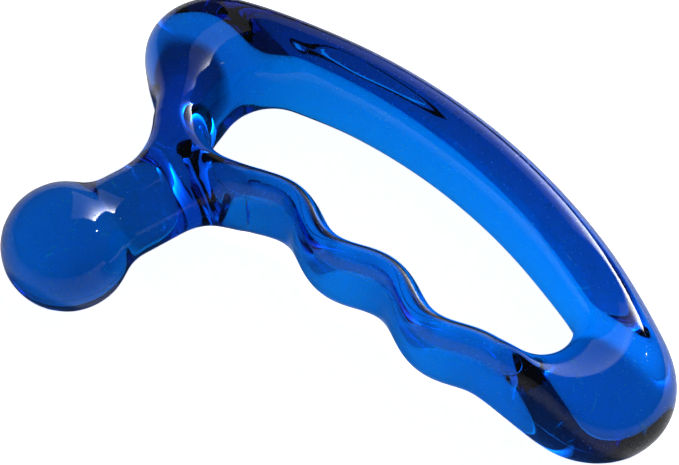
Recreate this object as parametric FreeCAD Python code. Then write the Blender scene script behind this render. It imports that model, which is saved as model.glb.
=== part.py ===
import FreeCAD, Part
import os
from math import atan2, cos, pi, radians, sin, sqrt
from FreeCAD import Vector

# A hand massage tool, cast in one piece: a closed loop held in the fist, with a ball on a short
# neck at one corner. Millimetres and degrees. It is drawn about the ball's centre, with X along
# the palm side, Y across the loop and the mould's parting plane at z = 0, and then moved so that
# the middle of its base is the origin. Headings are measured anticlockwise from X.

# Ball and neck
BALL_DIAMETER = 25.4
NECK_DIAMETER = 17.0
BALL_BLEND = 9.0
NECK_BLEND = 14.0

# The neck is turned about its axis to bring the seam in its surface up from the parting plane
NECK_TURN = 90

# Crook of the loop, which the neck runs into at this heading from the crook's centre
CROOK_RADIUS = 14.0
NECK_MEETS = 241.0

# Finger grip: a wave whose heading swings about its slope
GRIP_START_X = 32.5
GRIP_START_Y = 22.5
GRIP_START = Vector(GRIP_START_X, GRIP_START_Y, 0)
GRIP_SLOPE = -23.5
GRIP_SWING = 25.7
GROOVE_PITCH = 26.6
GRIP_WAVES = 2.21
GRIP_WIDTH = 6.7
GRIP_HEIGHT = 19.5

# Bow behind the palm: an arc of a circle, with the length that its section takes to change
BOW_CENTRE_X = 12.25
BOW_CENTRE_Y = -67.2
BOW_CENTRE = Vector(BOW_CENTRE_X, BOW_CENTRE_Y, 0)
BOW_RADIUS = 126.0
BOW_WIDTH = 12.0
BOW_HEIGHT = 25.4
BOW_CHANGE = 22.0

# Heel, where the grip runs into the bow. Each edge leaves the grip by the spread's angle.
HEEL_OUTER_RADIUS = 13.9
HEEL_INNER_RADIUS = 8.6
HEEL_SPREAD = 4.8
HEEL_HEIGHT = 23.0

# Stem, from the crook up to the knob
STEM_X = 10.3
STEM_Y = 35.6
STEM_POINT = Vector(STEM_X, STEM_Y, 0)
STEM_HEADING = 93.0
STEM_WIDTH = 12.2
STEM_HEIGHT = 23.6

# Knob, where the stem runs into the bow. Each edge leaves the stem by its spread's angle.
KNOB_OUTER_RADIUS = 12.85
KNOB_INNER_RADIUS = 12.0
KNOB_OUTER_SPREAD = 32.0
KNOB_INNER_SPREAD = 16.0
KNOB_HEIGHT = 25.4

# Fullness of the sections: 2 is an ellipse, and more fills its corners
GRIP_FULLNESS = 2.4
BOW_FULLNESS = 2.05
STEM_FULLNESS = 2.35

# Fineness of the loop's surface
STATION_SPACING = 2.5
SECTION_POINT_COUNT = 16
STRETCH_STEP_COUNT = 60
SURFACE_DEGREE = 3
SEAM_TOLERANCE = 0.01


def heading(angle):
    return Vector(cos(radians(angle)), sin(radians(angle)), 0)


def left_of(direction):
    return Vector(-direction.y, direction.x, 0)


def crossing(p, along_p, q, along_q):
    """Where the line through p meets the line through q."""
    across = left_of(along_q)
    return p + along_p * (across.dot(q - p) / across.dot(along_p))


def ease(t):
    """From 0 to 1, level at both ends."""
    return t * t * (3 - 2 * t)


def between(first, last, t):
    return first + (last - first) * t


def line(start, end):
    return [between(start, end, i / STRETCH_STEP_COUNT) for i in range(STRETCH_STEP_COUNT + 1)]


def arc(centre, radius, start, end):
    """Points on an arc, anticlockwise from one direction to another."""
    first = atan2(start.y, start.x)
    turn = (atan2(end.y, end.x) - first) % (2 * pi)
    angles = [first + turn * i / STRETCH_STEP_COUNT for i in range(STRETCH_STEP_COUNT + 1)]
    return [centre + Vector(cos(a), sin(a), 0) * radius for a in angles]


def bow_corner(point, direction, radius, bow_edge, side):
    """Arc that rounds the corner between a line and, from inside, an edge of the bow. Its centre
    is on the line's left where side is 1, and on its right where side is -1."""
    across = left_of(direction) * side
    start = point + across * radius - BOW_CENTRE
    along = start.dot(direction)
    run = sqrt(along ** 2 - start.dot(start) + (bow_edge - radius) ** 2) - along
    centre = point + across * radius + direction * run
    to_line = across * -1
    to_bow = centre - BOW_CENTRE
    if side == 1:
        return arc(centre, radius, to_line, to_bow)
    return arc(centre, radius, to_bow, to_line)


def lengths_along(path):
    lengths = [0.0]
    for start, end in zip(path, path[1:]):
        lengths.append(lengths[-1] + (end - start).Length)
    return lengths


def edges_of(path, widths):
    """The edges right and left of a path, which are the loop's outside and its opening."""
    outer = []
    inner = []
    for i, point in enumerate(path):
        tangent = path[min(i + 1, len(path) - 1)] - path[max(i - 1, 0)]
        across = left_of(tangent.normalize()) * (widths[i] / 2)
        outer.append(point - across)
        inner.append(point + across)
    return outer, inner


def grip_angle(length):
    return GRIP_SLOPE + GRIP_SWING * cos(2 * pi * length / GROOVE_PITCH)


def grip_path():
    """Middle of the finger grip, stepped along its swinging heading."""
    total = GRIP_WAVES * GROOVE_PITCH
    count = round(GRIP_WAVES * STRETCH_STEP_COUNT)
    path = [GRIP_START]
    for i in range(count):
        middle_of_step = total * (i + 0.5) / count
        path.append(path[-1] + heading(grip_angle(middle_of_step)) * (total / count))
    return path


def crook_centre():
    """Centre of the arc that joins the line down the stem to the line into the grip."""
    down = heading(STEM_HEADING + 180)
    into_grip = heading(grip_angle(0))
    beside_stem = STEM_POINT + left_of(down) * CROOK_RADIUS
    beside_grip = GRIP_START + left_of(into_grip) * CROOK_RADIUS
    return crossing(beside_stem, down, beside_grip, into_grip)


def crook_path():
    """Middle of the loop from the stem's point, round the crook and up to the grip."""
    up = heading(STEM_HEADING)
    to_grip = left_of(heading(grip_angle(0))) * -1
    bend = arc(crook_centre(), CROOK_RADIUS, left_of(up), to_grip)
    return line(STEM_POINT, bend[0])[:-1] + bend + line(bend[-1], GRIP_START)[1:]


def stretches():
    """The loop as stretches, anticlockwise from the knob. Each has its outer points, its inner
    points, and the height and fullness of its section at its start and at its end."""
    crook = crook_path()
    lengths = lengths_along(crook)
    taper = [ease(length / lengths[-1]) for length in lengths]
    crook_outer, crook_inner = edges_of(crook, [between(STEM_WIDTH, GRIP_WIDTH, t) for t in taper])

    grip = grip_path()
    grip_outer, grip_inner = edges_of(grip, [GRIP_WIDTH] * len(grip))

    outer_edge = BOW_RADIUS + BOW_WIDTH / 2
    inner_edge = BOW_RADIUS - BOW_WIDTH / 2
    leaving = grip_angle(GRIP_WAVES * GROOVE_PITCH)
    heel_outer = bow_corner(grip_outer[-1], heading(leaving - HEEL_SPREAD), HEEL_OUTER_RADIUS,
                            outer_edge, 1)
    heel_inner = bow_corner(grip_inner[-1], heading(leaving + HEEL_SPREAD), HEEL_INNER_RADIUS,
                            inner_edge, 1)
    knob_outer = bow_corner(crook_outer[0], heading(STEM_HEADING + KNOB_OUTER_SPREAD),
                            KNOB_OUTER_RADIUS, outer_edge, -1)
    knob_inner = bow_corner(crook_inner[0], heading(STEM_HEADING - KNOB_INNER_SPREAD),
                            KNOB_INNER_RADIUS, inner_edge, -1)

    bow_outer = arc(BOW_CENTRE, outer_edge, heel_outer[-1] - BOW_CENTRE, knob_outer[0] - BOW_CENTRE)
    bow_inner = arc(BOW_CENTRE, inner_edge, heel_inner[-1] - BOW_CENTRE, knob_inner[0] - BOW_CENTRE)
    change = round(STRETCH_STEP_COUNT * BOW_CHANGE / lengths_along(bow_outer)[-1])
    last = STRETCH_STEP_COUNT - change

    knob_section = (KNOB_HEIGHT, STEM_FULLNESS)
    stem_section = (STEM_HEIGHT, STEM_FULLNESS)
    grip_section = (GRIP_HEIGHT, GRIP_FULLNESS)
    heel_section = (HEEL_HEIGHT, BOW_FULLNESS)
    bow_section = (BOW_HEIGHT, BOW_FULLNESS)
    return [
        (knob_outer, knob_inner, knob_section, knob_section),
        (line(knob_outer[-1], crook_outer[0]), line(knob_inner[-1], crook_inner[0]),
         knob_section, stem_section),
        (crook_outer, crook_inner, stem_section, grip_section),
        (grip_outer, grip_inner, grip_section, grip_section),
        (line(grip_outer[-1], heel_outer[0]), line(grip_inner[-1], heel_inner[0]),
         grip_section, heel_section),
        (heel_outer, heel_inner, heel_section, heel_section),
        (bow_outer[:change + 1], bow_inner[:change + 1], heel_section, bow_section),
        (bow_outer[change:last + 1], bow_inner[change:last + 1], bow_section, bow_section),
        (bow_outer[last:], bow_inner[last:], bow_section, knob_section),
    ]


def rule():
    """Every step of every stretch: outer point, inner point, height and fullness."""
    steps = []
    for outer, inner, first, last in stretches():
        count = len(outer) - 1
        for i in range(count):
            t = ease(i / count)
            height = between(first[0], last[0], t)
            fullness = between(first[1], last[1], t)
            steps.append((outer[i], inner[i], height, fullness))
    return steps


def stations():
    """The rule at evenly spaced places round the loop."""
    steps = rule()
    steps.append(steps[0])
    lengths = lengths_along([between(step[0], step[1], 0.5) for step in steps])
    count = round(lengths[-1] / STATION_SPACING)
    found = []
    k = 0
    for i in range(count):
        place = lengths[-1] * i / count
        while lengths[k + 1] < place:
            k += 1
        t = (place - lengths[k]) / (lengths[k + 1] - lengths[k])
        found.append([between(a, b, t) for a, b in zip(steps[k], steps[k + 1])])
    return found


def full(value, fullness):
    """A cosine or sine, pushed out towards a square."""
    size = abs(value) ** (2 / fullness)
    return size if value > 0 else -size


def section_poles(outer, inner, height, fullness):
    """Control points of one section, held far enough out for the curve to reach its size."""
    step = 2 * pi / SECTION_POINT_COUNT
    reach = 3 / (2 + full(cos(step), fullness))
    middle = between(outer, inner, 0.5)
    across = (inner - outer) * (reach / 2)
    upward = Vector(0, 0, height * reach / 2)
    poles = []
    for j in range(SECTION_POINT_COUNT):
        poles.append(middle + across * full(cos(j * step), fullness)
                     + upward * full(sin(j * step), fullness))
    return poles


def make_loop():
    """The loop as one smooth surface, closed along its length and round its section."""
    poles = [section_poles(*station) for station in stations()]
    along = list(range(len(poles) + 1))
    around = list(range(SECTION_POINT_COUNT + 1))
    surface = Part.BSplineSurface()
    surface.buildFromPolesMultsKnots(poles, [1] * len(along), [1] * len(around), along, around,
                                     True, True, SURFACE_DEGREE, SURFACE_DEGREE)
    loop = Part.Solid(Part.Shell([surface.toShape()]))
    if loop.Volume < 0:
        loop.reverse()
    return loop


def neck_seams(body, end, nearest, furthest):
    """Edges of a body that run round the neck's side, this far along it from the ball's centre."""
    axis = Vector(end).normalize()
    seams = []
    for edge in body.Edges:
        if edge.Degenerated or edge.Curve.TypeId == "Part::GeomLine":
            continue
        points = edge.discretize(STRETCH_STEP_COUNT)
        reach = [axis.dot(point) for point in points]
        radii = [point.distanceToLine(Vector(), axis) for point in points]
        on_side = max(abs(radius - NECK_DIAMETER / 2) for radius in radii) < SEAM_TOLERANCE
        if on_side and min(reach) > nearest and max(reach) < furthest:
            seams.append(edge)
    return seams


def make_tool_body():
    end = crook_centre() + heading(NECK_MEETS) * CROOK_RADIUS
    ball = Part.makeSphere(BALL_DIAMETER / 2)
    neck = Part.makeCylinder(NECK_DIAMETER / 2, end.Length, Vector(), end)
    neck.rotate(Vector(), end, NECK_TURN)
    body = ball.fuse(neck)
    body = body.makeFillet(BALL_BLEND, neck_seams(body, end, 0, BALL_DIAMETER / 2))
    body = body.fuse(make_loop())
    body = body.makeFillet(NECK_BLEND, neck_seams(body, end, BALL_DIAMETER / 2, end.Length))
    box = body.optimalBoundingBox()
    body.translate(Vector(-box.Center.x, -box.Center.y, -box.ZMin))
    return body


os.makedirs("parts", exist_ok=True)
tool_body = make_tool_body()
size = tool_body.optimalBoundingBox()
print("tool_body", round(size.XLength, 2), round(size.YLength, 2), round(size.ZLength, 2),
      "valid", tool_body.isValid(), "solids", len(tool_body.Solids),
      "volume", round(tool_body.Volume, 1))
tool_body.Solids[0].exportStep("parts/tool_body.step")
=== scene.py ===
from math import atan2, cos, pi, radians, sin, sqrt

import bmesh
import bpy
from mathutils import Matrix, Vector
from mathutils.bvhtree import BVHTree


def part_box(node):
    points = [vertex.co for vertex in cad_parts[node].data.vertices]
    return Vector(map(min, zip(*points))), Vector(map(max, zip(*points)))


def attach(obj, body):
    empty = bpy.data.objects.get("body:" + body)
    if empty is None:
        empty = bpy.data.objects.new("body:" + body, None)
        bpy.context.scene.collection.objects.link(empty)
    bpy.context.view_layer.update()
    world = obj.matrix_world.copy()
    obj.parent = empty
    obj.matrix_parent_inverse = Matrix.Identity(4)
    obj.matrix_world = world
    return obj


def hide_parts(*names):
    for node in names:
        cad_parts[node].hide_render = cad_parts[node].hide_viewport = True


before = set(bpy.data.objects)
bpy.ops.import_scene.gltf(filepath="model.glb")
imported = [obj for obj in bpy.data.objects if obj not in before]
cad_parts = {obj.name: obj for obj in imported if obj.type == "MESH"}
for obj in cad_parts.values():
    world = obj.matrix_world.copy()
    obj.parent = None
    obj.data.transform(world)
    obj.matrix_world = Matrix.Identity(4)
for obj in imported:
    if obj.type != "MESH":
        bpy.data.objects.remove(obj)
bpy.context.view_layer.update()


# The loop: one solid bar of clear blue acrylic that runs round the fist as stem, finger grip, heel,
# palm bow and corner knob. It is cast in one with the ball on its neck, in a polished mould whose
# halves meet at mid height, so its section is the same above and below.
MM = 0.001

# Angles are in degrees. A size is a section's width and height, and a pair of radii or spreads is
# for the outer and the inner side
grip_start = Vector((32.5, 22.5, 0)) * MM
grip_slope = -23.5
grip_swing = 25.7
groove_pitch = 26.6 * MM
grip_waves = 2.21
grip_size = (6.7 * MM, 19.5 * MM)
crook_radius = 14.0 * MM
bow_centre = Vector((12.25, -67.2, 0)) * MM
bow_radius = 126.0 * MM
bow_size = (12.0 * MM, 25.4 * MM)
bow_change = 22.0 * MM
heel_radii = (13.9 * MM, 8.6 * MM)
heel_spread = 4.8
heel_height = 23.0 * MM
stem_point = Vector((10.3, 35.6, 0)) * MM
stem_heading = 93.0
stem_size = (12.2 * MM, 23.6 * MM)
knob_radii = (12.85 * MM, 12.0 * MM)
knob_spreads = (32.0, 16.0)
knob_height = 25.4 * MM
grip_fullness = 2.4
bow_fullness = 2.05
stem_fullness = 2.35
station_spacing = 2.5 * MM
section_points = 16
stretch_steps = 60


def heading(angle):
    """Unit vector in the parting plane, anticlockwise from X by an angle in degrees."""
    return Vector((cos(radians(angle)), sin(radians(angle)), 0))


def left_of(direction):
    return Vector((-direction.y, direction.x, 0))


def crossing(p, along_p, q, along_q):
    """Where the line through p meets the line through q."""
    across = left_of(along_q)
    return p + along_p * (across.dot(q - p) / across.dot(along_p))


def ease(t):
    """From 0 to 1, level at both ends."""
    return t * t * (3 - 2 * t)


def between(first, last, t):
    return first + (last - first) * t


def line(start, end):
    return [between(start, end, i / stretch_steps) for i in range(stretch_steps + 1)]


def arc(centre, radius, start, end):
    """Points on an arc, anticlockwise from one direction to another."""
    first = atan2(start.y, start.x)
    turn = (atan2(end.y, end.x) - first) % (2 * pi)
    angles = [first + turn * i / stretch_steps for i in range(stretch_steps + 1)]
    return [centre + Vector((cos(a), sin(a), 0)) * radius for a in angles]


def bow_corner(point, direction, radius, bow_edge, side):
    """Arc that rounds the corner between a line and, from inside, an edge of the bow. Its centre
    is on the line's left where side is 1, and on its right where side is -1."""
    across = left_of(direction) * side
    start = point + across * radius - bow_centre
    along = start.dot(direction)
    run = sqrt(along ** 2 - start.dot(start) + (bow_edge - radius) ** 2) - along
    centre = point + across * radius + direction * run
    if side == 1:
        return arc(centre, radius, -across, centre - bow_centre)
    return arc(centre, radius, centre - bow_centre, -across)


def lengths_along(path):
    lengths = [0.0]
    for start, end in zip(path, path[1:]):
        lengths.append(lengths[-1] + (end - start).length)
    return lengths


def edges_of(path, widths):
    """The edges right and left of a path, which are the loop's outside and its opening."""
    outer = []
    inner = []
    for i, point in enumerate(path):
        tangent = path[min(i + 1, len(path) - 1)] - path[max(i - 1, 0)]
        across = left_of(tangent.normalized()) * (widths[i] / 2)
        outer.append(point - across)
        inner.append(point + across)
    return outer, inner


def grip_angle(length):
    return grip_slope + grip_swing * cos(2 * pi * length / groove_pitch)


# Middle of the finger grip, stepped along its swinging heading
grip_length = grip_waves * groove_pitch
grip_steps = round(grip_waves * stretch_steps)
grip = [grip_start]
for i in range(grip_steps):
    middle_of_step = grip_length * (i + 0.5) / grip_steps
    grip.append(grip[-1] + heading(grip_angle(middle_of_step)) * (grip_length / grip_steps))
grip_outer, grip_inner = edges_of(grip, [grip_size[0]] * len(grip))

# Down the stem, round the crook and up to the grip
down = heading(stem_heading + 180)
into_grip = heading(grip_angle(0))
crook_centre = crossing(stem_point + left_of(down) * crook_radius, down,
                        grip_start + left_of(into_grip) * crook_radius, into_grip)
bend = arc(crook_centre, crook_radius, -left_of(down), -left_of(into_grip))
crook = line(stem_point, bend[0])[:-1] + bend + line(bend[-1], grip_start)[1:]
crook_lengths = lengths_along(crook)
crook_widths = [between(stem_size[0], grip_size[0], ease(length / crook_lengths[-1]))
                for length in crook_lengths]
crook_outer, crook_inner = edges_of(crook, crook_widths)

# Heel, knob and bow, whose arcs touch the bow's edges from inside
outer_edge = bow_radius + bow_size[0] / 2
inner_edge = bow_radius - bow_size[0] / 2
leaving = grip_angle(grip_length)
heel_outer = bow_corner(grip_outer[-1], heading(leaving - heel_spread), heel_radii[0], outer_edge, 1)
heel_inner = bow_corner(grip_inner[-1], heading(leaving + heel_spread), heel_radii[1], inner_edge, 1)
knob_outer = bow_corner(crook_outer[0], heading(stem_heading + knob_spreads[0]), knob_radii[0],
                        outer_edge, -1)
knob_inner = bow_corner(crook_inner[0], heading(stem_heading - knob_spreads[1]), knob_radii[1],
                        inner_edge, -1)
bow_outer = arc(bow_centre, outer_edge, heel_outer[-1] - bow_centre, knob_outer[0] - bow_centre)
bow_inner = arc(bow_centre, inner_edge, heel_inner[-1] - bow_centre, knob_inner[0] - bow_centre)
change = round(stretch_steps * bow_change / lengths_along(bow_outer)[-1])
last = stretch_steps - change

# Each stretch has its outer and inner points, and its section's height and fullness at both ends
knob_section = (knob_height, stem_fullness)
stem_section = (stem_size[1], stem_fullness)
grip_section = (grip_size[1], grip_fullness)
heel_section = (heel_height, bow_fullness)
bow_section = (bow_size[1], bow_fullness)
stretches = [
    (knob_outer, knob_inner, knob_section, knob_section),
    (line(knob_outer[-1], crook_outer[0]), line(knob_inner[-1], crook_inner[0]),
     knob_section, stem_section),
    (crook_outer, crook_inner, stem_section, grip_section),
    (grip_outer, grip_inner, grip_section, grip_section),
    (line(grip_outer[-1], heel_outer[0]), line(grip_inner[-1], heel_inner[0]),
     grip_section, heel_section),
    (heel_outer, heel_inner, heel_section, heel_section),
    (bow_outer[:change + 1], bow_inner[:change + 1], heel_section, bow_section),
    (bow_outer[change:last + 1], bow_inner[change:last + 1], bow_section, bow_section),
    (bow_outer[last:], bow_inner[last:], bow_section, knob_section),
]
steps = []
for outer, inner, first_section, last_section in stretches:
    count = len(outer) - 1
    for i in range(count):
        t = ease(i / count)
        steps.append((between(outer[i], inner[i], 0.5), (inner[i] - outer[i]) / 2,
                      between(first_section[0], last_section[0], t),
                      between(first_section[1], last_section[1], t)))

# Stations at even spaces along the middle of the bar
steps.append(steps[0])
lengths = lengths_along([step[0] for step in steps])
station_count = round(lengths[-1] / station_spacing)
stations = []
passed = 0
for i in range(station_count):
    wanted = lengths[-1] * i / station_count
    while lengths[passed + 1] < wanted:
        passed += 1
    t = (wanted - lengths[passed]) / (lengths[passed + 1] - lengths[passed])
    stations.append([between(a, b, t) for a, b in zip(steps[passed], steps[passed + 1])])

guide = bpy.data.meshes.new("loop_stations")
guide.from_pydata([station[0] for station in stations],
                  [(i, (i + 1) % station_count) for i in range(station_count)], [])
for name, kind, field, values in (
        ("middle", "FLOAT_VECTOR", "vector", [station[0] for station in stations]),
        ("across", "FLOAT_VECTOR", "vector", [station[1] for station in stations]),
        ("height", "FLOAT", "value", [station[2] for station in stations]),
        ("fullness", "FLOAT", "value", [station[3] for station in stations]),
        ("station", "FLOAT", "value", [float(i) for i in range(station_count)])):
    layer = guide.attributes.new(name, kind, "POINT")
    for i, value in enumerate(values):
        setattr(layer.data[i], field, value)
loop = bpy.data.objects.new("loop", guide)
bpy.context.scene.collection.objects.link(loop)


def linear(hex_colour):
    """An sRGB hex colour as linear red, green, blue and 1."""
    parts = [int(hex_colour[i:i + 2], 16) / 255 for i in (1, 3, 5)]
    return [p / 12.92 if p <= 0.04045 else ((p + 0.055) / 1.055) ** 2.4 for p in parts] + [1]


def add(tree, kind, inputs=None, **settings):
    """Adds a node with its settings. An input is given a value, or a socket to link from."""
    made = tree.nodes.new(kind)
    for name, value in settings.items():
        setattr(made, name, value)
    for name, value in (inputs or {}).items():
        if isinstance(value, bpy.types.NodeSocket):
            tree.links.new(value, made.inputs[name])
        else:
            made.inputs[name].default_value = value
    return made


# Acrylic, dyed all through and cast in a polished mould: its blue deepens with the thickness that
# light crosses, and lamps show sharp in its skin, which has a soft ripple and the marks of use
acrylic_ior = 1.49
polish_roughness = 0.02
dye_tint = "#1CA3FF"
dye_left_in_light = "#00F5FC"
dye_density = 300.0
ripple_size = 14.0 * MM
ripple_depth = 0.02 * MM
ripple_detail = 1.0
hairline_size = (14.0 * MM, 0.25 * MM)
hairline_lies = ((0.3, 0.2, 0.7), (0.1, -0.4, -0.9))
hairline_rarity = (0.77, 0.84)
speck_spacing = 9.0 * MM
speck_core = 0.055 * MM
speck_radius = 0.11 * MM
worn_white = "#DCE6F5"
worn_roughness = 0.3
parting_height = 12.7 * MM
parting_width = 0.15 * MM
parting_rise = 0.03 * MM

acrylic = bpy.data.materials.new("dyed_cast_acrylic")
acrylic.use_nodes = True
skin = acrylic.node_tree
skin.nodes.clear()
spot = add(skin, "ShaderNodeTexCoord").outputs["Object"]
ripple = add(skin, "ShaderNodeTexNoise", {
    "Vector": spot,
    "Scale": 1 / ripple_size,
    "Detail": ripple_detail,
})
rippled = add(skin, "ShaderNodeBump", {
    "Height": ripple.outputs["Fac"],
    "Distance": ripple_depth,
})

# Hairlines and specks scatter light. Real hairlines are about 0.05 mm wide, which is too fine to
# show, so these are drawn a few times as wide. They lie in two directions, turned in radians. One
# starts where the noise passes the first value of the rarity, and is full past the second
marks = None
for lie in hairline_lies:
    swung = add(skin, "ShaderNodeMapping", {"Vector": spot, "Rotation": lie})
    drawn_out = add(skin, "ShaderNodeMapping", {
        "Vector": swung.outputs["Vector"],
        "Scale": (1 / hairline_size[0], 1 / hairline_size[1], 1 / hairline_size[1]),
    })
    streaks = add(skin, "ShaderNodeTexNoise", {
        "Vector": drawn_out.outputs["Vector"],
        "Scale": 1.0,
        "Detail": 0.0,
    })
    few = add(skin, "ShaderNodeMapRange", {
        "Value": streaks.outputs["Fac"],
        "From Min": hairline_rarity[0],
        "From Max": hairline_rarity[1],
    }).outputs["Result"]
    if marks:
        few = add(skin, "ShaderNodeMath", {0: marks, 1: few}, operation="MAXIMUM").outputs[0]
    marks = few
nearest_speck = add(skin, "ShaderNodeTexVoronoi", {"Vector": spot, "Scale": 1 / speck_spacing})
speck = add(skin, "ShaderNodeMapRange", {
    "Value": nearest_speck.outputs["Distance"],
    "From Min": speck_radius / speck_spacing,
    "From Max": speck_core / speck_spacing,
}).outputs["Result"]
worn = add(skin, "ShaderNodeMath", {0: marks, 1: speck}, operation="MAXIMUM").outputs[0]
roughness = add(skin, "ShaderNodeMapRange", {
    "Value": worn,
    "To Min": polish_roughness,
    "To Max": worn_roughness,
}).outputs["Result"]
tint = add(skin, "ShaderNodeMix", {
    "Factor": worn,
    "A": linear(dye_tint),
    "B": linear(worn_white),
}, data_type="RGBA")

# The mould's halves meet in a line as fine as a hair, drawn twice as wide as a real one
height = add(skin, "ShaderNodeSeparateXYZ", {"Vector": spot}).outputs["Z"]
from_line = add(skin, "ShaderNodeMath", {0: height, 1: parting_height}, operation="SUBTRACT").outputs[0]
off_line = add(skin, "ShaderNodeMath", {0: from_line}, operation="ABSOLUTE").outputs[0]
ridge = add(skin, "ShaderNodeMapRange", {
    "Value": off_line,
    "From Min": parting_width,
    "From Max": 0.0,
}, interpolation_type="SMOOTHSTEP").outputs["Result"]
parted = add(skin, "ShaderNodeBump", {
    "Height": ridge,
    "Distance": parting_rise,
    "Normal": rippled.outputs["Normal"],
})
shader = add(skin, "ShaderNodeBsdfPrincipled", {
    "Base Color": tint.outputs[2],
    "Roughness": roughness,
    "IOR": acrylic_ior,
    "Transmission Weight": 1.0,
    "Normal": parted.outputs["Normal"],
})
dye = add(skin, "ShaderNodeVolumeAbsorption", {
    "Color": linear(dye_left_in_light),
    "Density": dye_density,
})
add(skin, "ShaderNodeOutputMaterial", {"Surface": shader.outputs[0], "Volume": dye.outputs[0]})

# The tree sweeps the section along the stations. The section's points carry their turn, and
# every point of the sweep has the values of its station
sweep = bpy.data.node_groups.new("section_swept_round_the_loop", "GeometryNodeTree")
sweep.interface.new_socket("Stations", in_out="INPUT", socket_type="NodeSocketGeometry")
points_socket = sweep.interface.new_socket("Section Points", in_out="INPUT",
                                           socket_type="NodeSocketInt")
plastic_socket = sweep.interface.new_socket("Plastic", in_out="INPUT",
                                            socket_type="NodeSocketMaterial")
sweep.interface.new_socket("Loop", in_out="OUTPUT", socket_type="NodeSocketGeometry")
given = add(sweep, "NodeGroupInput").outputs
ring = add(sweep, "GeometryNodeCurvePrimitiveCircle", {"Resolution": given["Section Points"]})
index = add(sweep, "GeometryNodeInputIndex").outputs[0]
step_angle = add(sweep, "ShaderNodeMath", {0: 2 * pi, 1: given["Section Points"]},
                 operation="DIVIDE").outputs[0]
turn = add(sweep, "ShaderNodeMath", {0: index, 1: step_angle}, operation="MULTIPLY").outputs[0]
turned = add(sweep, "GeometryNodeStoreNamedAttribute", {
    "Geometry": ring.outputs["Curve"],
    "Name": "turn",
    "Value": turn,
}, data_type="FLOAT")
path = add(sweep, "GeometryNodeMeshToCurve", {"Mesh": given["Stations"]})
bar = add(sweep, "GeometryNodeCurveToMesh", {
    "Curve": path.outputs["Curve"],
    "Profile Curve": turned.outputs["Geometry"],
})
held = {}
for name, kind in (("turn", "FLOAT"), ("height", "FLOAT"), ("fullness", "FLOAT"),
                   ("across", "FLOAT_VECTOR"), ("middle", "FLOAT_VECTOR")):
    found = add(sweep, "GeometryNodeInputNamedAttribute", {"Name": name}, data_type=kind)
    held[name] = found.outputs["Attribute"]


def pushed_out(angle, wave):
    """The cosine or sine of an angle in the sweep, pushed out towards a square by the fullness."""
    value = add(sweep, "ShaderNodeMath", {0: angle}, operation=wave).outputs[0]
    size = add(sweep, "ShaderNodeMath", {0: value}, operation="ABSOLUTE").outputs[0]
    power = add(sweep, "ShaderNodeMath", {0: 2.0, 1: held["fullness"]}, operation="DIVIDE").outputs[0]
    fuller = add(sweep, "ShaderNodeMath", {0: size, 1: power}, operation="POWER").outputs[0]
    sign = add(sweep, "ShaderNodeMath", {0: value}, operation="SIGN").outputs[0]
    return add(sweep, "ShaderNodeMath", {0: fuller, 1: sign}, operation="MULTIPLY").outputs[0]


# Subdivision draws the surface inside these points, so they reach out by as much
drawn_in = add(sweep, "ShaderNodeMath", {0: pushed_out(step_angle, "COSINE"), 1: 2.0},
               operation="ADD").outputs[0]
reach = add(sweep, "ShaderNodeMath", {0: 3.0, 1: drawn_in}, operation="DIVIDE").outputs[0]
half_height = add(sweep, "ShaderNodeMath", {0: held["height"], 1: 0.5},
                  operation="MULTIPLY").outputs[0]
high_reach = add(sweep, "ShaderNodeMath", {0: reach, 1: half_height},
                 operation="MULTIPLY").outputs[0]
sideways = add(sweep, "ShaderNodeMath", {0: pushed_out(held["turn"], "COSINE"), 1: reach},
               operation="MULTIPLY").outputs[0]
upwards = add(sweep, "ShaderNodeMath", {0: pushed_out(held["turn"], "SINE"), 1: high_reach},
              operation="MULTIPLY").outputs[0]
side_part = add(sweep, "ShaderNodeVectorMath", {"Vector": held["across"], "Scale": sideways},
                operation="SCALE").outputs[0]
up_part = add(sweep, "ShaderNodeCombineXYZ", {"Z": upwards}).outputs[0]
section = add(sweep, "ShaderNodeVectorMath", {0: side_part, 1: up_part}, operation="ADD").outputs[0]
place = add(sweep, "ShaderNodeVectorMath", {0: held["middle"], 1: section},
            operation="ADD").outputs[0]
placed = add(sweep, "GeometryNodeSetPosition", {
    "Geometry": bar.outputs["Mesh"],
    "Position": place,
})
real = add(sweep, "GeometryNodeRealizeInstances", {"Geometry": placed.outputs["Geometry"]})
coated = add(sweep, "GeometryNodeSetMaterial", {
    "Geometry": real.outputs["Geometry"],
    "Material": given["Plastic"],
})
add(sweep, "NodeGroupOutput", {"Loop": coated.outputs["Geometry"]})


def plain_mesh(piece, modifiers):
    """The mesh that an object shows with its modifiers, which are then taken off it."""
    shown = piece.evaluated_get(bpy.context.evaluated_depsgraph_get())
    made = bpy.data.meshes.new_from_object(shown)
    for modifier in modifiers:
        piece.modifiers.remove(modifier)
    return made


swept = loop.modifiers.new("section swept round the loop", "NODES")
swept.node_group = sweep
swept[points_socket.identifier] = section_points
swept[plastic_socket.identifier] = acrylic
loop_cage = plain_mesh(loop, [swept])


# The ball on its neck, which presses on sore spots: a one inch ball of the same clear blue
# acrylic, cast in one with the loop. The neck meets the loop square on the outside of the crook,
# with a soft blend rolled out over the loop and a smaller one over the ball.
ball_radius = 12.7 * MM
neck_radius = 8.5 * MM
neck_meets = 241.0
ball_blend = 9.0 * MM
neck_blend = 14.0 * MM
hole_reach = 5
blend_rows = 5
neck_rows = 4
ball_blend_rows = 4
ball_rows = 6
cap_edge = 48.0
blend_accuracy = 1e-7
rounds_to_fit = 30
bare_loop_levels = 3
finished_levels = 2

neck_end = crook_centre + heading(neck_meets) * crook_radius
neck_along = neck_end.normalized()
neck_right = Vector((neck_along.y, -neck_along.x, 0))
up = Vector((0, 0, 1))
around = 8 * hole_reach

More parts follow.
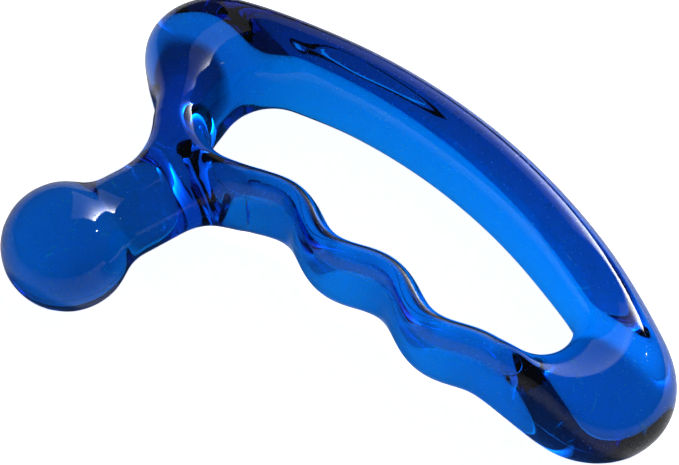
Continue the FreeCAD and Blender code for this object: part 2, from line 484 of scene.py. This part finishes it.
# The waist lies where the blend on the ball is as narrow as the neck
waist = sqrt((ball_radius + ball_blend) ** 2 - (neck_radius + ball_blend) ** 2)
ball_start = atan2(neck_radius + ball_blend, waist)
turned_out = [up * cos(2 * pi * i / around) + neck_right * sin(2 * pi * i / around)
              for i in range(around)]


def limit_place(vertex):
    """Where subdivision ends up by taking a vertex of a closed mesh of four-sided faces."""
    n = len(vertex.link_edges)
    place = vertex.co * n * n
    for edge in vertex.link_edges:
        place += edge.other_vert(vertex).co * 4
    for face in vertex.link_faces:
        corners = list(face.verts)
        place += corners[(corners.index(vertex) + 2) % 4].co
    return place / (n * (n + 5))


# The bare loop's surface, for the blend to roll over
loop.data = loop_cage
smooth = loop.modifiers.new("smooth", "SUBSURF")
smooth.levels = smooth.render_levels = bare_loop_levels
loop_surface = plain_mesh(loop, [smooth])
on_loop = BVHTree.FromPolygons([v.co for v in loop_surface.vertices],
                               [tuple(p.vertices) for p in loop_surface.polygons])

# The loop's vertices, found by their station and their place in its section
tool = bmesh.new()
tool.from_mesh(loop_cage)
station_layer = tool.verts.layers.float["station"]
turn_layer = tool.verts.layers.float["turn"]
cage = {}
for vertex in tool.verts:
    turn_count = round(vertex[turn_layer] * section_points / (2 * pi))
    cage[round(vertex[station_layer]), turn_count] = vertex

# A hole in the loop's outside, where the neck comes in. Its square edge is counted in stations
# along the loop and in points round the section
outside = section_points // 2
nearest = min(range(station_count), key=lambda i: (stations[i][0] - neck_end).length)
square = []
for i in range(-hole_reach, hole_reach):
    square.append(((i, -hole_reach), (hole_reach, i), (-i, hole_reach), (-hole_reach, -i)))
square = [corner[side] for side in range(4) for corner in square]
square = square[hole_reach:] + square[:hole_reach]
rim = [cage[(nearest + i) % station_count, outside + j] for i, j in square]
targets = {vertex: limit_place(vertex) for vertex in rim}
inside = []
for i in range(1 - hole_reach, hole_reach):
    for j in range(1 - hole_reach, hole_reach):
        inside.append(cage[(nearest + i) % station_count, outside + j])
bmesh.ops.delete(tool, geom=inside, context="VERTS")


def ring_of(places):
    """New vertices at these places, which are also where the smooth surface has to pass."""
    made = [tool.verts.new(place) for place in places]
    targets.update((vertex, Vector(place)) for vertex, place in zip(made, places))
    return made


def join(outer_ring, inner_ring):
    """Faces between one ring and the next one further from the loop."""
    for i in range(around):
        following = (i + 1) % around
        tool.faces.new((outer_ring[i], outer_ring[following], inner_ring[following],
                        inner_ring[i]))


# The blend on the loop, rolled as a ball that touches both the neck and the loop
blend = [[] for i in range(blend_rows)]
for outwards in turned_out:
    near, far = 0.0, neck_end.length
    while far - near > blend_accuracy:
        middle = (near + far) / 2
        centre = neck_along * middle + outwards * (neck_radius + neck_blend)
        if on_loop.find_nearest(centre)[3] > neck_blend:
            near = middle
        else:
            far = middle
    centre = neck_along * near + outwards * (neck_radius + neck_blend)
    to_loop = (on_loop.find_nearest(centre)[0] - centre).normalized()
    for j in range(blend_rows):
        blend[j].append(centre + to_loop.slerp(-outwards, j / (blend_rows - 1)) * neck_blend)

rows = [rim]
rows.append(ring_of([on_loop.find_nearest((a + targets[b]) / 2)[0] for a, b in zip(blend[0], rim)]))
rows += [ring_of(row) for row in blend]

# Straight neck, the blend onto the ball, and the ball
for j in range(1, neck_rows):
    rows.append(ring_of([between(a, neck_along * waist + outwards * neck_radius, j / neck_rows)
                         for a, outwards in zip(blend[-1], turned_out)]))
for j in range(ball_blend_rows):
    angle = (pi / 2 - ball_start) * j / ball_blend_rows
    radial = neck_radius + ball_blend - ball_blend * cos(angle)
    rows.append(ring_of([neck_along * (waist - ball_blend * sin(angle)) + b * radial
                         for b in turned_out]))
for j in range(ball_rows + 1):
    angle = between(ball_start, pi - radians(cap_edge), j / ball_rows)
    rows.append(ring_of([neck_along * (ball_radius * cos(angle)) + b * (ball_radius * sin(angle))
                         for b in turned_out]))
for outer_ring, inner_ring in zip(rows, rows[1:]):
    join(outer_ring, inner_ring)

# The ball's far end, closed with a square patch whose edge is the last ring
patch = dict(zip(square, rows[-1]))
for i in range(1 - hole_reach, hole_reach):
    for j in range(1 - hole_reach, hole_reach):
        x = sqrt(2) * sin(pi / 4 * i / hole_reach)
        y = sqrt(2) * sin(pi / 4 * j / hole_reach)
        flat = Vector((x * sqrt(1 - y * y / 2), -y * sqrt(1 - x * x / 2)))
        angle = radians(cap_edge) * flat.length
        aside = neck_right * flat.x + up * flat.y
        place = -neck_along * cos(angle) + aside.normalized() * sin(angle)
        patch[i, j] = ring_of([place * ball_radius])[0]
for i in range(-hole_reach, hole_reach):
    for j in range(-hole_reach, hole_reach):
        tool.faces.new((patch[i, j], patch[i + 1, j], patch[i + 1, j + 1], patch[i, j + 1]))
bmesh.ops.recalc_face_normals(tool, faces=tool.faces)

# Vertices stand off the surface just far enough for it to pass through their targets
for i in range(rounds_to_fit):
    moves = {vertex: place - limit_place(vertex) for vertex, place in targets.items()}
    for vertex, move in moves.items():
        vertex.co += move
for face in tool.faces:
    face.smooth = True
whole = bpy.data.meshes.new("massage_tool")
tool.to_mesh(whole)
tool.free()
loop.data = whole
smooth = loop.modifiers.new("smooth", "SUBSURF")
smooth.levels = smooth.render_levels = finished_levels
loop.data = plain_mesh(loop, [smooth])
loop.data.materials.clear()
loop.data.materials.append(acrylic)

# Into the frame of the CAD body that it stands for, middle on middle. The ball is round the
# origin, and nothing reaches lower
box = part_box("tool_body")
low = Vector((-ball_radius, -ball_radius, -ball_radius))
high = Vector([max(v.co[i] for v in loop.data.vertices) for i in range(3)])
shift = (Vector(box[0]) + Vector(box[1]) - low - high) / 2
loop.data.transform(Matrix.Translation(shift))
loop.name = "massage_tool"
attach(loop, "root")
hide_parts("tool_body")


# The floor: a smooth sheet of matt white background paper, which lies flat under the tool and
# reaches far behind it. It is so well lit that the photograph shows it as plain white.
paper_white = "#FFFFFF"
paper_grey = "#F4F4F4"
paper_roughness = 0.9
seen_glow = 0.96
floor_reach = 3000 * MM
# Painted light and shade on the paper, seen only through the plastic: its glow runs between two
# strengths over a span along one direction, brighter towards the camera's side
painted_light_towards = (0.5, -0.87, 0.0)
painted_light_span = (-55.0 * MM, 30.0 * MM)
painted_light_strengths = (0.07, 0.42)

paper = bpy.data.materials.new("matt_white_paper_with_painted_light")
paper.use_nodes = True
sheet = paper.node_tree
sheet.nodes.clear()
spot = add(sheet, "ShaderNodeTexCoord").outputs["Object"]
rays = add(sheet, "ShaderNodeLightPath").outputs
forwards = add(sheet, "ShaderNodeVectorMath", {0: spot, 1: painted_light_towards},
               operation="DOT_PRODUCT").outputs["Value"]
painted_light_under_tool = add(sheet, "ShaderNodeMapRange", {
    "Value": forwards,
    "From Min": painted_light_span[0],
    "From Max": painted_light_span[1],
    "To Min": painted_light_strengths[0],
    "To Max": painted_light_strengths[1],
}).outputs["Result"]

# The paper's glow: an even white where it is seen bare. Where it is seen through the plastic it is
# painted light and shade that stand for the light reaching under the tool, brighter on the side of the
# camera and darker away from it
bare = add(sheet, "ShaderNodeMath", {0: rays["Is Camera Ray"], 1: seen_glow},
           operation="MULTIPLY").outputs[0]
glow = add(sheet, "ShaderNodeMath", {0: rays["Is Transmission Ray"], 1: painted_light_under_tool, 2: bare},
           operation="MULTIPLY_ADD").outputs[0]
matt = add(sheet, "ShaderNodeBsdfPrincipled", {
    "Base Color": linear(paper_grey),
    "Roughness": paper_roughness,
    "Emission Color": linear(paper_white),
    "Emission Strength": glow,
})
add(sheet, "ShaderNodeOutputMaterial", {"Surface": matt.outputs[0]})
ground = bpy.data.meshes.new("floor")
ground.from_pydata([(-floor_reach, -floor_reach, 0), (floor_reach, -floor_reach, 0),
                    (floor_reach, floor_reach, 0), (-floor_reach, floor_reach, 0)], [],
                   [(0, 1, 2, 3)])
ground.materials.append(paper)
floor = bpy.data.objects.new("floor", ground)
bpy.context.scene.collection.objects.link(floor)


# The camera: a long lens on a stand, on the finger grip's side, which looks steeply down at the
# tool. Its place and its turn are matched to the tool's outline in the photograph.
view_target = Vector((-4.717, -5.007, 12.7)) * MM
view_azimuth = 19.09
view_elevation = 55.68
view_roll = 0.589
view_distance = 348.7 * MM
sensor_width = 36.0
lens_length = 94.48
nearest_seen = 10 * MM

back = heading(view_azimuth - 90) * cos(radians(view_elevation))
back.z = sin(radians(view_elevation))
level = up.cross(back).normalized()
above = back.cross(level)
tilt = radians(view_roll)
right = level * cos(tilt) + above * sin(tilt)
above = above * cos(tilt) - level * sin(tilt)
lens = bpy.data.cameras.new("camera")
lens.sensor_fit = "HORIZONTAL"
lens.sensor_width = sensor_width
lens.lens = lens_length
lens.clip_start = nearest_seen
camera = bpy.data.objects.new("camera", lens)
camera.matrix_world = Matrix.LocRotScale(view_target + back * view_distance,
                                         Matrix((right, above, back)).transposed(), None)
bpy.context.scene.collection.objects.link(camera)
bpy.context.scene.camera = camera


# The lights, placed as the camera stands, right, away and up: a large soft box behind the tool that
# fades to the left and to the back, a small bare lamp, and a lamp that is flagged off the tool and
# lights the paper. The room is grey, and looks white where the camera sees it bare.
box_bright_end = Vector((260, 240, 182)) * MM
box_dim_end = Vector((-36, 117, 125)) * MM
box_width = 220 * MM
box_power = 12.5
box_fade = (2.9, 0.8)
box_least = 0.01
box_soft_edge = 0.09
hard_edge = 1e-4
bare_place = Vector((168.6, 30.4, 155.5)) * MM
bare_width = 5 * MM
bare_power = 0.03
paper_lamp_place = Vector((250, 280, 330)) * MM
paper_lamp_width = 150 * MM
paper_lamp_power = 2.8
room_grey = "#484C52"
wall_white = "#F7F7F7"
photo_gamma = 0.87


def light(name, bright_end, dim_end, width, power, fade, least, soft_edge):
    """A lamp facing the tool, given by the middles of two of its sides. It fades from the first
    of them to the second, and from its near side to its far one, by the two powers in fade and
    down to the share in least. Both sides that it fades from have a soft edge, a share as well."""
    lamp = bpy.data.lights.new(name, "AREA")
    lamp.shape = "RECTANGLE"
    lamp.size = (bright_end - dim_end).length
    lamp.size_y = width
    lamp.energy = power
    lamp.use_nodes = True
    glow = lamp.node_tree
    glow.nodes.clear()
    across = add(glow, "ShaderNodeSeparateXYZ", {
        "Vector": add(glow, "ShaderNodeNewGeometry").outputs["Parametric"],
    }).outputs
    left = add(glow, "ShaderNodeMath", {0: 1.0, 1: across["X"]}, operation="SUBTRACT").outputs[0]
    far_away = add(glow, "ShaderNodeMath", {0: 1.0, 1: across["Y"]}, operation="SUBTRACT").outputs[0]
    long_fade = add(glow, "ShaderNodeMath", {0: left, 1: fade[0]}, operation="POWER").outputs[0]
    wide_fade = add(glow, "ShaderNodeMath", {0: across["Y"], 1: fade[1]}, operation="POWER").outputs[0]
    faded = add(glow, "ShaderNodeMath", {0: long_fade, 1: wide_fade}, operation="MULTIPLY").outputs[0]
    for inwards in (across["X"], far_away):
        edge = add(glow, "ShaderNodeMapRange", {
            "Value": inwards,
            "From Min": -hard_edge,
            "From Max": soft_edge,
        }, interpolation_type="SMOOTHSTEP").outputs["Result"]
        faded = add(glow, "ShaderNodeMath", {0: faded, 1: edge}, operation="MULTIPLY").outputs[0]
    brightness = add(glow, "ShaderNodeMath", {0: faded, 1: 1 - least, 2: least},
                     operation="MULTIPLY_ADD").outputs[0]
    lit = add(glow, "ShaderNodeEmission", {"Strength": brightness})
    add(glow, "ShaderNodeOutputLight", {"Surface": lit.outputs[0]})
    fixture = bpy.data.objects.new(name, lamp)
    middle = (bright_end + dim_end) / 2
    along = (dim_end - bright_end).normalized()
    away = (middle - along * middle.dot(along)).normalized()
    facing = Matrix((along, away.cross(along), away)).transposed()
    swing = Matrix.Rotation(radians(view_azimuth), 3, "Z")
    fixture.matrix_world = Matrix.LocRotScale(swing @ middle, swing @ facing, None)
    fixture.visible_camera = False
    bpy.context.scene.collection.objects.link(fixture)
    return fixture


def even_light(name, place, width, power):
    """A square lamp facing the tool, as bright all over."""
    half = Vector((width / 2, 0, 0))
    return light(name, place + half, place - half, width, power, (0, 0), 0, 0)


soft_box = light("soft_box", box_bright_end, box_dim_end, box_width, box_power, box_fade, box_least,
                 box_soft_edge)
soft_box.visible_diffuse = False
bare_lamp = even_light("bare_lamp", bare_place, bare_width, bare_power)
bare_lamp.visible_transmission = False
paper_lamp = even_light("paper_lamp", paper_lamp_place, paper_lamp_width, paper_lamp_power)
paper_lamp.visible_glossy = False
paper_lamp.visible_transmission = False
room = bpy.data.worlds.new("room")
bpy.context.scene.world = room
room.use_nodes = True
walls = room.node_tree
walls.nodes.clear()
seen_bare = add(walls, "ShaderNodeLightPath").outputs["Is Camera Ray"]
wall_colour = add(walls, "ShaderNodeMix", {
    "Factor": seen_bare,
    "A": linear(room_grey),
    "B": linear(wall_white),
}, data_type="RGBA")
wall_light = add(walls, "ShaderNodeBackground", {"Color": wall_colour.outputs[2]})
add(walls, "ShaderNodeOutputWorld", {"Surface": wall_light.outputs[0]})

# The photograph's contrast
bpy.context.scene.view_settings.view_transform = "Standard"
bpy.context.scene.view_settings.gamma = photo_gamma
